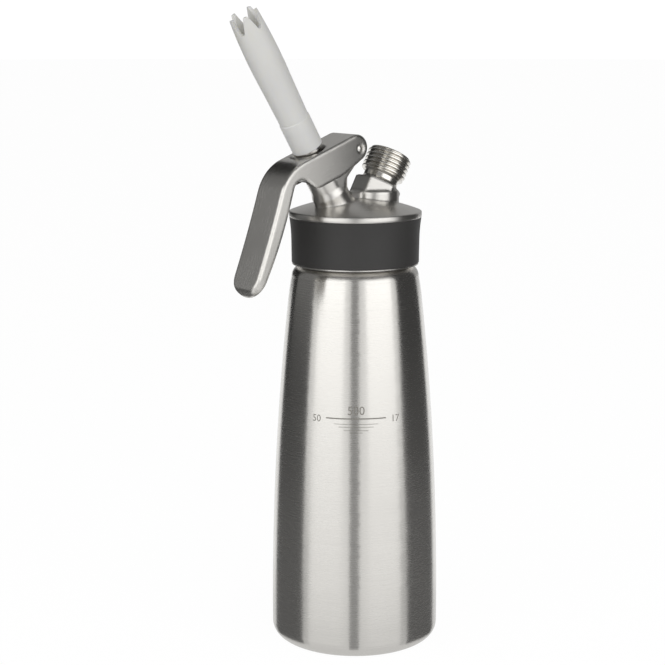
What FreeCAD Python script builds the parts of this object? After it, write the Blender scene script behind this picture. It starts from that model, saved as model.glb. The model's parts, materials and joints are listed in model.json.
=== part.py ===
"""Whipped cream dispenser: steel bottle, screwed-on valve head, squeeze lever, decorator tip and
gas charger adaptor, every piece a separate solid.

Millimetres, +Z up.  The origin is on the bottle's axis, on the surface that it stands on.
XZ is the plane of symmetry: the lever and the decorator tip lean to -X, the charger adaptor to +X.
"""
import FreeCAD, Part
import math
import os
import Sketcher

# Driving sizes: name, value, what it is.
DRIVING = (
    # bottle
    ("body_radius", 41.0, "widest outside radius of the bottle"),
    ("bottle_wall", 1.2, "sheet thickness of the bottle"),
    ("base_corner", 7.0, "rounding between base and side"),
    ("foot_radius", 28.0, "inner edge of the ring that the bottle stands on"),
    ("base_rise", 2.5, "height of the dished middle of the base"),
    ("side_straight", 16.0, "height at which the side starts to draw in"),
    ("side_curve", 1430.0, "radius of the long curve of the side"),
    ("waist_radius", 32.6, "outside radius at the waist, below the shoulder"),
    ("waist_drop", 11.8, "distance of the waist below the shoulder"),
    ("shoulder_curve", 173.0, "radius of the curve between waist and shoulder"),
    ("shoulder_radius", 30.9, "outside radius where the shoulder rounds over"),
    ("shoulder_height", 181.3, "height where the shoulder rounds over"),
    ("shoulder_round", 6.2, "rounding of the shoulder"),
    ("shoulder_rise", 5.9, "height of the rounding of the shoulder"),
    ("mouth_radius", 25.4, "outside radius of the bottle's neck"),
    ("mouth_height", 19.7, "height of the bottle's neck above its shoulder"),
    ("throat_drop", 1.0, "how far below the shoulder's top the throat inside starts"),
    # screw thread between bottle and head
    ("thread_pitch", 4.0, "rise of the main thread in one turn"),
    ("thread_turns", 2.0, "turns of the main thread"),
    ("thread_depth", 1.0, "how far the main thread stands out"),
    ("thread_root", 1.9, "width of the main thread at its root"),
    ("thread_crest", 1.0, "width of the main thread at its crest"),
    ("thread_play", 0.4, "radial room between crest and facing wall"),
    ("thread_start", 5.0, "height of the thread's start above the shoulder"),
    # head
    ("gasket_thickness", 2.2, "thickness of the head gasket"),
    ("gasket_inner", 22.0, "inner radius of the head gasket"),
    ("gasket_play", 0.4, "room around the head gasket"),
    ("skirt_wall", 1.8, "wall of the head's threaded skirt"),
    ("skirt_gap", 0.15, "room between the skirt's lower edge and the shoulder"),
    ("skirt_lip_radius", 30.6, "outside radius of the lip at the skirt's lower edge"),
    ("skirt_lip_height", 0.65, "height of that lip"),
    ("rim_radius", 32.0, "radius of the head's rim"),
    ("rim_under", 1.2, "height of the rim's underside above the gasket"),
    ("rim_height", 2.7, "height of the rim's upright band"),
    ("rim_edge", 0.35, "chamfer on the rim's upper edge"),
    ("dome_rise", 6.0, "rise of the head's dome above its rim"),
    ("dome_curve", 88.0, "radius of the dome"),
    ("ceiling_rise", 3.1, "height of the hollow under the dome"),
    ("ceiling_radius", 20.5, "radius of the hollow under the dome"),
    # grip ring
    ("ring_foot", 30.85, "outside radius of the grip ring at its lower edge"),
    ("ring_waist", 31.0, "outside radius of the grip ring half way up"),
    ("ring_top", 31.95, "outside radius of the grip ring at its upper edge"),
    ("ring_flare", 75.0, "radius of the flare of the grip ring"),
    ("ring_edge", 0.4, "chamfer on the grip ring's lower edge"),
    # valve stem line
    ("stem_lean", 31.0, "lean of the valve stem, in degrees"),
    ("stem_foot", 8.0, "distance from the axis at which the stem's line meets the gasket plane"),
    ("stem_reach", 41.5, "length of the stem's line from gasket plane to tip seat"),
    ("neck_radius", 8.0, "outside radius of the valve neck between the walls of the lever"),
    ("neck_lower_radius", 8.9, "outside radius of the valve neck below the lever"),
    ("neck_foot_radius", 9.8, "outside radius of the valve neck at its foot"),
    ("neck_rim", 15.8, "distance of the neck's rim below the tip seat"),
    ("neck_flare", 22.6, "distance below the tip seat at which the neck starts to widen"),
    ("neck_foot", 36.5, "distance below the tip seat at which the neck meets the dome"),
    ("neck_step", 3.0, "length over which the neck widens below the lever"),
    ("neck_foot_curve", 30.0, "radius of the curve down to the neck's foot"),
    ("neck_boss_step", 3.0, "length over which the neck narrows to the boss under the lid"),
    ("valve_boss", 8.0, "outside radius of the boss around the valve under the lid"),
    ("spring_bore", 6.5, "radius of the bore that holds the return spring"),
    ("spring_bore_depth", 31.0, "depth of the spring bore below the tip seat"),
    ("guide_radius", 5.9, "outside radius of the valve guide"),
    ("guide_length", 9.0, "length of the valve guide"),
    ("guide_groove", 2.2, "height of the O-ring's groove below the valve guide"),
    ("chamber_radius", 5.0, "radius of the valve chamber"),
    ("valve_seat", 51.0, "distance of the valve's seat below the tip seat"),
    ("stem_radius", 4.2, "radius of the valve stem"),
    ("stem_lower", 3.4, "radius of the stem's lower end"),
    ("stem_step", 43.0, "distance of the stem's step below the tip seat"),
    ("stem_bore", 2.6, "radius of the channel in the stem"),
    ("stem_port", 1.4, "radius of the stem's side ports"),
    ("stem_port_depth", 47.4, "distance of the side ports below the tip seat"),
    ("stem_blind", 1.2, "how far the stem's channel runs on below its side ports"),
    ("stem_chamfer", 0.8, "chamfer at the stem's step"),
    ("spigot_radius", 5.35, "radius of the stem's threaded spigot"),
    ("spigot_length", 9.4, "length of the spigot above the tip seat"),
    ("spigot_chamfer", 0.6, "chamfer at the spigot's end"),
    ("stem_flange", 6.3, "radius of the flange under the tip"),
    ("stem_flange_height", 1.2, "height of the flange under the tip"),
    ("valve_gap", 0.05, "room between the closed valve seal and its seat"),
    ("valve_seal_radius", 6.3, "outside radius of the valve seal"),
    ("valve_seal_height", 2.2, "height of the valve seal"),
    ("valve_seal_edge", 0.5, "chamfer on the valve seal's lower edge"),
    ("valve_nut_flats", 9.0, "width of the valve nut across its flats"),
    ("valve_nut_height", 2.8, "height of the valve nut"),
    ("running_fit", 0.05, "radial clearance of turning and sliding fits"),
    ("collar_radius", 6.1, "radius of the thrust collar"),
    ("collar_height", 2.0, "height of the thrust collar"),
    ("collar_top", 11.6, "distance of the thrust collar's top below the tip seat"),
    ("spring_mean", 5.25, "mean radius of the return spring"),
    ("spring_wire", 0.5, "radius of the return spring's wire"),
    ("spring_turns", 6.0, "turns of the return spring"),
    ("spring_room", 0.05, "room at either end of the return spring"),
    # decorator tip
    ("tip_washer_height", 0.4, "height of the washer under the tip"),
    ("tip_washer_radius", 6.3, "outside radius of the washer under the tip"),
    ("tip_washer_play", 0.25, "radial room between the washer and the spigot"),
    ("tip_length", 71.8, "length of the decorator tip"),
    ("tip_collar", 7.45, "radius of the tip's collar"),
    ("tip_collar_height", 15.2, "height of the tip's collar"),
    ("tip_foot_edge", 0.3, "chamfer at the collar's foot"),
    ("tip_collar_step", 0.5, "length over which the collar narrows to the waist"),
    ("tip_waist", 7.15, "radius of the tip just above its collar"),
    ("tip_belly", 7.65, "radius of the tip's belly"),
    ("tip_belly_height", 36.0, "height of the tip's belly"),
    ("tip_end", 6.85, "radius of the tip's end"),
    ("tip_curve", 260.0, "radius of the curve from the tip's belly to its end"),
    ("tip_wall", 1.6, "wall of the tip"),
    ("tip_mouth_wall", 1.4, "wall of the tip at its end"),
    ("tip_teeth", 5.0, "number of teeth"),
    ("slot_depth", 8.0, "depth of the slots between the teeth"),
    ("slot_foot", 2.6, "width of a slot at its foot"),
    ("slot_mouth", 6.2, "width of a slot at its mouth"),
    ("slot_turn", 5.2, "turn of the teeth about the tip's axis, in degrees"),
    ("insert_radius", 6.3, "outside radius of the tip's threaded insert"),
    ("insert_length", 11.0, "length of the tip's threaded insert"),
    ("insert_shoulder", 1.0, "width of the shoulder on which the insert ends"),
    ("insert_throat", 2.0, "length of the narrow throat above the insert"),
    # lever
    ("pin_set", 24.47, "level distance of the lever's pin from the tip seat"),
    ("pin_drop", 1.27, "distance of the lever's pin below the tip seat"),
    ("pin_radius", 1.6, "radius of the lever's pin"),
    ("pin_recess", 0.05, "how far the pin's ends lie below the lever's sides"),
    ("pin_dome", 0.5, "height of the domes at the pin's ends"),
    ("lever_width", 19.2, "width of the lever"),
    ("lever_wall", 1.3, "thickness of the lever's side walls"),
    ("lever_plate", 3.2, "thickness of the lever's top plate"),
    ("lever_slope", 20.0, "slope of the lever's top, in degrees"),
    ("lever_top", 7.3, "height of the lever's top above its pin, square to its slope"),
    ("lever_run", 31.6, "length of the lever's straight top"),
    ("ear_set", 1.5, "distance of the ears' centre from the pin, along the top"),
    ("lever_bend", 22.0, "outside radius of the bend between top and grip"),
    ("bend_turn", 52.5, "turn of that bend, in degrees"),
    ("grip_flare", 540.0, "radius of the grip's outer face"),
    ("face_turn", 4.7, "turn of the grip's outer face down to its nose, in degrees"),
    ("end_turn", 5.42, "turn of the same curve down to the level of the grip's back corner"),
    ("grip_back", 200.0, "radius of the grip's inner face"),
    ("back_rise", 59.9, "rise of the grip's inner face at its lower end, in degrees"),
    ("back_turn", 13.5, "turn of the grip's inner face, in degrees"),
    ("back_run", 6.9, "length of the straight run above the grip's inner face"),
    ("grip_thickness", 4.2, "thickness of the grip at its end"),
    ("arch_radius", 5.6, "radius of the arch behind the grip"),
    ("arch_turn", 110.4, "turn of that arch, in degrees"),
    ("arch_run", 3.7, "length of the straight run beside that arch"),
    ("lobe_radius", 5.0, "radius of the side walls' lowest corner"),
    ("lobe_turn", 57.0, "turn of that corner, in degrees"),
    ("wall_rise", 32.0, "rise of the side walls' lower edge, in degrees"),
    ("ear_radius", 6.4, "radius of the lever's ears"),
    ("lever_edge", 1.1, "rounding of the lever's outer edges"),
    ("grip_nose", 5.5, "radius to which the grip's outer face rolls over at its end"),
    ("nose_turn", 62.0, "turn of that roll, in degrees"),
    ("pin_hole_edge", 0.5, "rounding of the pin hole's rims"),
    ("grip_end_round", 9.0, "rounding of the grip's end, seen from its face"),
    ("channel_reach", 31.5, "distance of the channel's end from the pin, under the top"),
    ("channel_foot", 29.2, "distance of the channel's end from the pin, at its open side"),
    ("channel_depth", 22.0, "distance of that side below the pin"),
    ("recess_radius", 7.4, "radius of the recess around the tip's foot"),
    ("recess_floor", 4.2, "distance of the recess's floor below the tip seat"),
    ("spot_radius", 9.9, "radius of the shallow face around that recess"),
    ("spot_floor", 0.9, "distance of that face below the tip seat"),
    ("stem_slot_radius", 4.8, "radius of the slot for the stem"),
    ("stem_slot_run", 1.8, "how much longer than wide the slot for the stem is"),
    ("stem_slot_depth", 12.0, "depth of that slot below the recess"),
    ("thrust_radius", 1.5, "radius of the lugs that press on the collar"),
    ("thrust_gap", 0.12, "room between the lugs and the collar"),
    ("thrust_reach", 3.6, "length of each lug inside the lever"),
    # pivot lug of the head
    ("lug_width", 15.8, "width of the pivot lug"),
    ("lug_corner", 13.0, "distance of the lug's corner below the tip seat"),
    ("lug_edge", 1.2, "rounding of the lug's upper edges"),
    ("lug_back", 4.0, "rounding of the lug's upright corners at its back"),
    ("lug_outside", 8.4, "distance of the lug's corner from the stem's line"),
    ("lug_inside", 3.0, "distance from the stem's line to which the lug reaches into the neck"),
    ("lug_back_set", 4.7, "distance of the lug's back behind the pin"),
    ("lug_back_drop", 10.9, "distance below the pin of the top of the lug's back"),
    ("web_foot_rise", 5.4, "height above the boss at which the rib leaves the lug's back"),
    ("web_radius", 5.8, "radius of the hollow along the rib"),
    ("web_heel", 0.0, "distance behind the pin of the rib's heel on the boss"),
    ("eye_radius", 3.6, "radius of the pivot lug's eye"),
    ("bush_radius", 2.4, "outside radius of the pivot bush"),
    # charger adaptor
    ("adaptor_lean", 29.0, "lean of the charger adaptor, in degrees"),
    ("adaptor_foot", 5.9, "distance from the axis at which the adaptor's line meets the gasket plane"),
    ("adaptor_reach", 34.3, "length of the adaptor's line from gasket plane to its mouth"),
    ("nipple_radius", 10.9, "radius of the adaptor's thread"),
    ("nipple_root", 9.65, "radius at the root of the adaptor's thread"),
    ("nipple_pitch", 2.1, "rise of the adaptor's thread in one turn"),
    ("nipple_length", 11.5, "length of the adaptor's thread"),
    ("nipple_lead", 1.3, "chamfer at the adaptor's mouth"),
    ("nipple_flank", 0.86, "width of the thread's root, as a share of its pitch"),
    ("nipple_crest", 0.16, "width of the thread's crest, as a share of its pitch"),
    ("nipple_edge", 0.4, "chamfer of the adaptor's core at its mouth"),
    ("relief_radius", 8.65, "radius of the groove under the adaptor's thread"),
    ("relief_length", 4.7, "length of the groove under the adaptor's thread"),
    ("relief_flare", 0.8, "how much wider the groove's foot is"),
    ("shank_radius", 7.0, "radius of the adaptor's shank in the head"),
    ("shank_length", 7.5, "length of the adaptor's shank in the head"),
    ("charger_bore", 4.75, "radius of the bore for the charger's neck"),
    ("charger_bore_length", 6.0, "length of the bore for the charger's neck"),
    ("charger_room", 3.0, "room between that bore and the charger seal"),
    ("charger_chamfer", 0.6, "chamfer at the charger bore's mouth"),
    ("charger_seal_radius", 5.4, "outside radius of the charger seal"),
    ("charger_seal_height", 2.0, "height of the charger seal"),
    ("charger_seal_inner", 1.6, "inner radius of the charger seal"),
    ("carrier_radius", 3.2, "radius of the piercing pin's threaded foot"),
    ("carrier_length", 6.0, "length of the piercing pin's threaded foot"),
    ("needle_radius", 1.1, "radius of the piercing pin"),
    ("needle_bore", 0.4, "radius of the gas channel in the piercing pin"),
    ("needle_tip", 6.4, "distance of the pin's point below the adaptor's mouth"),
    ("needle_point", 1.76, "length of the piercing pin's point"),
    ("hex_flats", 20.3, "width of the head's hexagon across its flats"),
    ("hex_length", 9.4, "length of the hexagon down into the dome"),
    ("hex_turn", 26.5, "turn of the hexagon about the adaptor's line, in degrees"),
    ("hex_chamfer", 10.9, "radius at which the hexagon's chamfer starts"),
    ("hex_slope", 0.6, "slope of the hexagon's chamfer"),
    ("boss_set", 12.0, "distance of the upright boss from the axis"),
    ("boss_radius", 12.0, "radius of the upright boss"),
    ("boss_rise", 13.6, "height of the boss above the gasket plane"),
    ("boss_edge", 1.2, "rounding of the boss's upper edge"),
    ("boss_face", 16.0, "radius of the slanted face that clears the boss for the adaptor"),
    ("boss_drop", 0.3, "drop of that face below the hexagon's top"),
    ("gas_boss_radius", 5.0, "radius of the boss around the gas ports"),
    ("gas_boss_end", 34.6, "distance of that boss's face below the adaptor's mouth"),
    ("gas_boss_length", 9.0, "length of that boss"),
    ("gas_chamber", 3.6, "radius of the gas chamber"),
    ("gas_chamber_end", 27.6, "distance of the gas chamber's end below the adaptor's mouth"),
    ("gas_port", 0.6, "radius of the gas ports"),
    ("gas_port_set", 2.0, "distance of the gas ports from their line"),
    ("gas_ports", 3.0, "number of gas ports"),
    ("check_stem", 0.9, "radius of the non-return valve's stem"),
    ("check_radius", 3.2, "radius of the non-return valve's cap"),
    ("check_height", 1.2, "height of the non-return valve's cap"),
    ("check_lip", 0.4, "thickness of that cap at its edge"),
    ("check_bulb", 1.4, "radius of the bulb that holds the non-return valve"),
    ("check_bulb_height", 1.8, "height of that bulb"),
    ("check_bulb_end", 0.54, "radius of that bulb's end"),
)


# How far a cutting shape runs on past what it cuts, and how far joined shapes reach into each other.
BEYOND = 2.0
SUNK = 0.5


class Size:
    """A number together with the spreadsheet expression that gives it."""

    def __init__(self, value, text):
        self.value = value
        self.text = text

    def __add__(self, other):
        other = as_size(other)
        return Size(self.value + other.value, "(%s + %s)" % (self.text, other.text))

    def __sub__(self, other):
        other = as_size(other)
        return Size(self.value - other.value, "(%s - %s)" % (self.text, other.text))

    def __mul__(self, other):
        other = as_size(other)
        return Size(self.value * other.value, "(%s * %s)" % (self.text, other.text))

    def __truediv__(self, other):
        other = as_size(other)
        return Size(self.value / other.value, "(%s / %s)" % (self.text, other.text))

    def __radd__(self, other):
        return as_size(other) + self

    def __rsub__(self, other):
        return as_size(other) - self

    def __rmul__(self, other):
        return as_size(other) * self

    def __neg__(self):
        return as_size(0.0) - self


def as_size(number):
    """A Size, from a Size or from a plain number."""
    if isinstance(number, Size):
        return number
    return Size(float(number), repr(float(number)))


def sine(angle):
    """Sine of an angle in degrees."""
    return Size(math.sin(math.radians(angle.value)), "sin(%s)" % angle.text)


def cosine(angle):
    """Cosine of an angle in degrees."""
    return Size(math.cos(math.radians(angle.value)), "cos(%s)" % angle.text)


doc = FreeCAD.newDocument("whipped_cream_dispenser")
sheet = doc.addObject("Spreadsheet::Sheet", "Sizes")


def fill_sheet():
    """Writes the driving sizes into the sheet and gives them back by name."""
    sizes = {}
    for row, (name, value, note) in enumerate(DRIVING, start=1):
        sheet.set("A%d" % row, note)
        sheet.set("B%d" % row, str(value))
        sheet.setAlias("B%d" % row, name)
        sizes[name] = Size(value, "Sizes.%s" % name)
    doc.recompute()
    return sizes


size = fill_sheet()
finished = []


def bind(thing, prop, value):
    """Ties a property of a document object to its expression."""
    thing.setExpression(prop, as_size(value).text)


def keep(thing, name):
    """Marks an object of the document as a finished sub-part."""
    thing.Label = name
    finished.append(thing)
    return thing


# ---------------------------------------------------------------- frames

class Frame:
    """A line in the plane of symmetry, with a start point and a lean from upright."""

    def __init__(self, x, z, lean, toward):
        self.x = as_size(x)
        self.z = as_size(z)
        self.lean = as_size(lean)
        self.toward = toward
        self.ux = sine(self.lean) * toward
        self.uz = cosine(self.lean)

    def along(self, distance):
        """The point at a distance up the line, as x and z."""
        return self.x + self.ux * distance, self.z + self.uz * distance

    def place(self, thing, distance=0.0, aside=0.0):
        """Stands an object on the line, with its own Z along it, and aside of it toward +X."""
        axis = FreeCAD.Vector(0, self.toward, 0)
        thing.Placement = FreeCAD.Placement(FreeCAD.Vector(), FreeCAD.Rotation(axis, self.lean.value))
        x, z = self.along(distance)
        bind(thing, "Placement.Base.x", x + self.uz * aside)
        bind(thing, "Placement.Base.z", z - self.ux * aside)
        bind(thing, "Placement.Rotation.Angle", self.lean)
        return thing


LEFT = -1
RIGHT = 1

mouth_foot = size["shoulder_height"] + size["shoulder_rise"]
lip = mouth_foot + size["mouth_height"]
waist_height = size["shoulder_height"] - size["waist_drop"]
gasket_plane = lip + size["gasket_thickness"]
rim_top = gasket_plane + size["rim_under"] + size["rim_height"]

UPRIGHT = Frame(0.0, 0.0, 0.0, RIGHT)
STEM = Frame(-size["stem_foot"] - size["stem_reach"] * sine(size["stem_lean"]),
             gasket_plane + size["stem_reach"] * cosine(size["stem_lean"]),
             size["stem_lean"], LEFT)
ADAPTOR = Frame(size["adaptor_foot"] + size["adaptor_reach"] * sine(size["adaptor_lean"]),
                gasket_plane + size["adaptor_reach"] * cosine(size["adaptor_lean"]),
                size["adaptor_lean"], RIGHT)
pin_x = STEM.x + size["pin_set"]
pin_z = STEM.z - size["pin_drop"]


# ---------------------------------------------------------------- sketches and features

def arc_centre(start, end, radius):
    """Centre of the arc from start to end: on the left of the way if radius is positive."""
    chord = end.sub(start)
    half = chord.Length / 2
    offset = math.sqrt(max(radius * radius - half * half, 0.0))
    normal = FreeCAD.Vector(-chord.y, chord.x, 0).normalize()
    side = 1 if radius > 0 else -1
    return start.add(chord.multiply(0.5)).add(normal.multiply(offset * side))


def draw(sketch, outline):
    """Draws a closed outline.  A corner is (x, y), or (x, y, radius) where an arc leads to it:
    the radius is positive where the way turns left and negative where it turns right."""
    points = [FreeCAD.Vector(as_size(c[0]).value, as_size(c[1]).value, 0) for c in outline]
    ends = []
    for index, corner in enumerate(outline):
        start = points[index - 1]
        end = points[index]
        if len(corner) == 2:
            edge = sketch.addGeometry(Part.LineSegment(start, end))
            ends.append((edge, 1, 2))
            continue
        radius = as_size(corner[2])
        centre = arc_centre(start, end, radius.value)
        first, last = (start, end) if radius.value > 0 else (end, start)
        angles = [math.atan2(p.y - centre.y, p.x - centre.x) for p in (first, last)]
        circle = Part.Circle(centre, FreeCAD.Vector(0, 0, 1), abs(radius.value))
        edge = sketch.addGeometry(Part.ArcOfCircle(circle, angles[0], angles[1]))
        ends.append((edge, 1, 2) if radius.value > 0 else (edge, 2, 1))
        rule = sketch.addConstraint(Sketcher.Constraint("Radius", edge, abs(radius.value)))
        bind(sketch, "Constraints[%d]" % rule, radius if radius.value > 0 else -radius)
    for index, (edge, start, end) in enumerate(ends):
        following, next_start, _ = ends[(index + 1) % len(ends)]
        sketch.addConstraint(Sketcher.Constraint("Coincident", edge, end, following, next_start))
        for way, part in (("DistanceX", 0), ("DistanceY", 1)):
            target = as_size(outline[index][part])
            rule = sketch.addConstraint(Sketcher.Constraint(way, -1, 1, edge, end, target.value))
            bind(sketch, "Constraints[%d]" % rule, target)
    return sketch


def circle(sketch, x, y, radius):
    """Draws a full circle."""
    x, y, radius = as_size(x), as_size(y), as_size(radius)
    centre = FreeCAD.Vector(x.value, y.value, 0)
    edge = sketch.addGeometry(Part.Circle(centre, FreeCAD.Vector(0, 0, 1), radius.value))
    rules = (("DistanceX", (-1, 1, edge, 3), x), ("DistanceY", (-1, 1, edge, 3), y),
             ("Radius", (edge,), radius))
    for kind, members, target in rules:
        rule = sketch.addConstraint(Sketcher.Constraint(kind, *members, target.value))
        bind(sketch, "Constraints[%d]" % rule, target)
    return sketch


def new_body(name):
    """An empty PartDesign body."""
    return doc.addObject("PartDesign::Body", name)


def sketch_on(body, role, name):
    """A sketch on one of a body's own origin planes."""
    sketch = body.newObject("Sketcher::SketchObject", name)
    plane = [f for f in body.Origin.OriginFeatures if f.Role == role][0]
    sketch.AttachmentSupport = [(plane, "")]
    sketch.MapMode = "FlatFace"
    return sketch


def revolve(body, outline, name):
    """Turns an outline in (radius, height) about the body's Z axis."""
    sketch = draw(sketch_on(body, "XZ_Plane", name + "_outline"), outline)
    turned = body.newObject("PartDesign::Revolution", name)
    turned.Profile = sketch
    turned.ReferenceAxis = (sketch, ["V_Axis"])
    turned.Angle = 360.0
    return turned


def turned(name, outline, frame=UPRIGHT, distance=0.0):
    """A body turned from one outline, standing on a frame's line."""
    body = new_body(name)
    revolve(body, outline, name + "_turned")
    return frame.place(body, distance)


def pad(body, role, outline, length, name, symmetric=True):
    """Pads an outline, to both sides of its plane or to one."""
    sketch = draw(sketch_on(body, role, name + "_outline"), outline)
    padded = body.newObject("PartDesign::Pad", name)
    padded.Profile = sketch
    padded.SideType = "Symmetric" if symmetric else "One side"
    bind(padded, "Length", length)
    return padded


def pocket(body, sketch, name, length=None, kind="Symmetric", backward=False):
    """Cuts a sketch out of its body, and makes sure that it did."""
    doc.recompute()
    before = body.Shape.Volume
    cut = body.newObject("PartDesign::Pocket", name)
    cut.Profile = sketch
    cut.SideType = kind
    cut.Reversed = backward
    if length is None:
        cut.Type = "ThroughAll"
    else:
        bind(cut, "Length", length)
    doc.recompute()
    if not body.Shape.Volume < before:
        raise RuntimeError("%s cuts nothing" % name)
    return cut


def round_edges(body, wanted, radius, name):
    """Rounds those edges of a body for which wanted(edge) is true."""
    doc.recompute()
    base = body.Tip
    shape = base.Shape
    names = ["Edge%d" % number for number, edge in enumerate(shape.Edges, start=1) if wanted(edge)]
    if not names:
        raise RuntimeError("%s finds no edge" % name)
    rounding = body.newObject("PartDesign::Fillet", name)
    rounding.Base = (base, names)
    bind(rounding, "Radius", radius)
    return rounding


def cylinder(name, radius, length, frame=UPRIGHT, distance=0.0, aside=0.0):
    """A Part cylinder that stands on a frame's line and runs up it."""
    solid = doc.addObject("Part::Cylinder", name)
    bind(solid, "Radius", radius)
    bind(solid, "Height", length)
    return frame.place(solid, distance, aside)


def cross_cylinder(name, radius, length, x, z, start=None):
    """A Part cylinder along -Y from y = start, or centred on the plane of symmetry."""
    length = as_size(length)
    solid = doc.addObject("Part::Cylinder", name)
    bind(solid, "Radius", radius)
    bind(solid, "Height", length)
    solid.Placement = FreeCAD.Placement(FreeCAD.Vector(), FreeCAD.Rotation(FreeCAD.Vector(1, 0, 0), 90))
    bind(solid, "Placement.Base.x", x)
    bind(solid, "Placement.Base.y", length * 0.5 if start is None else start)
    bind(solid, "Placement.Base.z", z)
    return solid


def fuse(name, *things):
    """One solid from several that meet."""
    joined = doc.addObject("Part::MultiFuse", name)
    joined.Shapes = list(things)
    joined.Refine = False
    return joined


def cut(name, base, *tools):
    """A solid less one or more others."""
    tool = tools[0] if len(tools) == 1 else fuse(name + "_tools", *tools)
    result = doc.addObject("Part::Cut", name)
    result.Base = base
    result.Tool = tool
    return result


def common(name, base, tool):
    """What two solids share."""
    result = doc.addObject("Part::Common", name)
    result.Base = base
    result.Tool = tool
    return result


def helix_sweep(name, radius, pitch, height, outline, frame, distance):
    """A ridge or wire: an outline in (radius, height) swept up a helix on a frame's line."""
    path = doc.addObject("Part::Helix", name + "_path")
    bind(path, "Pitch", pitch)
    bind(path, "Height", height)
    bind(path, "Radius", radius)
    section = doc.addObject("Sketcher::SketchObject", name + "_section")
    section.Placement = FreeCAD.Placement(FreeCAD.Vector(), FreeCAD.Rotation(FreeCAD.Vector(1, 0, 0), 90))
    if len(outline) == 3:
        circle(section, *outline)
    else:
        draw(section, outline)
    swept = doc.addObject("Part::Sweep", name)
    swept.Sections = [section]
    swept.Spine = (path, [])
    swept.Solid = True
    swept.Frenet = True
    return frame.place(swept, distance)


def ridge(wall, crest, root_width, crest_width):
    """Outline of a thread's ridge that stands on a wall, sunk a little into it."""
    wall, crest = as_size(wall), as_size(crest)
    outward = 1 if crest.value > wall.value else -1
    sunk = wall - 0.3 * outward
    root = as_size(root_width) * 0.5
    tip = as_size(crest_width) * 0.5
    corners = [(sunk, -root), (wall, -root), (crest, -tip), (crest, tip), (wall, root), (sunk, root)]
    return corners if outward > 0 else corners[::-1]


def across(edge, index):
    """Lowest and highest coordinate of an edge along X, Y or Z."""
    box = edge.BoundBox
    return ((box.XMin, box.XMax), (box.YMin, box.YMax), (box.ZMin, box.ZMax))[index]


def near(value, target, slack=0.01):
    """Whether two numbers are the same within a little."""
    return abs(value - target) < slack


# ---------------------------------------------------------------- bottle

def make_bottle():
    """One-piece bottle with a dished base, a rounded shoulder and a threaded mouth."""
    wall = size["bottle_wall"]
    body_r = size["body_radius"]
    corner = size["base_corner"]
    foot = size["foot_radius"]
    waist = size["waist_radius"]
    shoulder = size["shoulder_radius"]
    mouth = size["mouth_radius"]
    outline = [
        (0.0, size["base_rise"] + wall),
        (0.0, size["base_rise"]),
        (foot, 0.0),
        (body_r - corner, 0.0),
        (body_r, corner, corner),
        (body_r, size["side_straight"]),
        (waist, waist_height, size["side_curve"]),
        (shoulder, size["shoulder_height"], size["shoulder_curve"]),
        (mouth, mouth_foot, size["shoulder_round"]),
        (mouth, lip),
        (mouth - wall, lip),
        (mouth - wall, mouth_foot - size["throat_drop"]),
        (shoulder - wall, size["shoulder_height"] - wall * 0.3, wall - size["shoulder_round"]),
        (waist - wall, waist_height, wall - size["shoulder_curve"]),
        (body_r - wall, size["side_straight"], wall - size["side_curve"]),
        (body_r - wall, corner),
        (body_r - corner, wall, wall - corner),
        (foot, wall),
    ]
    shell = turned("bottle_shell", outline)
    pitch = size["thread_pitch"]
    thread = helix_sweep(
        "bottle_thread", mouth, pitch, pitch * size["thread_turns"],
        ridge(mouth, mouth + size["thread_depth"], size["thread_root"], size["thread_crest"]),
        UPRIGHT, mouth_foot + size["thread_start"])
    keep(fuse("bottle_fused", shell, thread), "bottle")


def make_gasket():
    """Flat ring that seals the head on the bottle's lip."""
    outer = skirt_bore() - size["gasket_play"]
    inner = size["gasket_inner"]
    outline = [(inner, lip), (outer, lip), (outer, gasket_plane), (inner, gasket_plane)]
    keep(turned("gasket_body", outline), "head_gasket")


# ---------------------------------------------------------------- head

def skirt_bore():
    """Inner radius of the head's skirt: it clears the crest of the bottle's thread."""
    return size["mouth_radius"] + size["thread_depth"] + size["thread_play"]


def skirt_radius():
    """Outer radius of the head's skirt, on which the grip ring sits."""
    return skirt_bore() + size["skirt_wall"]


def lip_top():
    """Height of the upper side of the skirt's lip, on which the grip ring stands."""
    return mouth_foot + size["skirt_gap"] + size["skirt_lip_height"]


def head_shell():
    """Domed lid with its rim and its threaded skirt."""
    skirt = skirt_radius()
    bore = skirt_bore()
    rim = size["rim_radius"]
    edge = size["rim_edge"]
    skirt_end = mouth_foot + size["skirt_gap"]
    rim_under = gasket_plane + size["rim_under"]
    ceiling = gasket_plane + size["ceiling_rise"]
    outline = [
        (0.0, ceiling),
        (size["ceiling_radius"], ceiling),
        (size["ceiling_radius"], gasket_plane),
        (bore, gasket_plane),
        (bore, skirt_end),
        (size["skirt_lip_radius"], skirt_end),
        (size["skirt_lip_radius"], lip_top()),
        (skirt, lip_top()),
        (skirt, rim_under),
        (rim, rim_under),
        (rim, rim_top - edge),
        (rim - edge, rim_top),
        (0.0, rim_top + size["dome_rise"], size["dome_curve"]),
    ]
    return turned("head_lid", outline)


def head_neck():
    """Leaning neck around the valve, with the valve's boss under the lid."""
    outline = [
        (0.0, -size["valve_seat"]),
        (size["valve_boss"], -size["valve_seat"]),
        (size["valve_boss"], -size["neck_foot"] - size["neck_boss_step"]),
        (size["neck_foot_radius"], -size["neck_foot"]),
        (size["neck_lower_radius"], -size["neck_flare"] - size["neck_step"], -size["neck_foot_curve"]),
        (size["neck_radius"], -size["neck_flare"]),
        (size["neck_radius"], -size["neck_rim"]),
        (0.0, -size["neck_rim"]),
    ]
    return turned("head_neck", outline, STEM)


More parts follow.
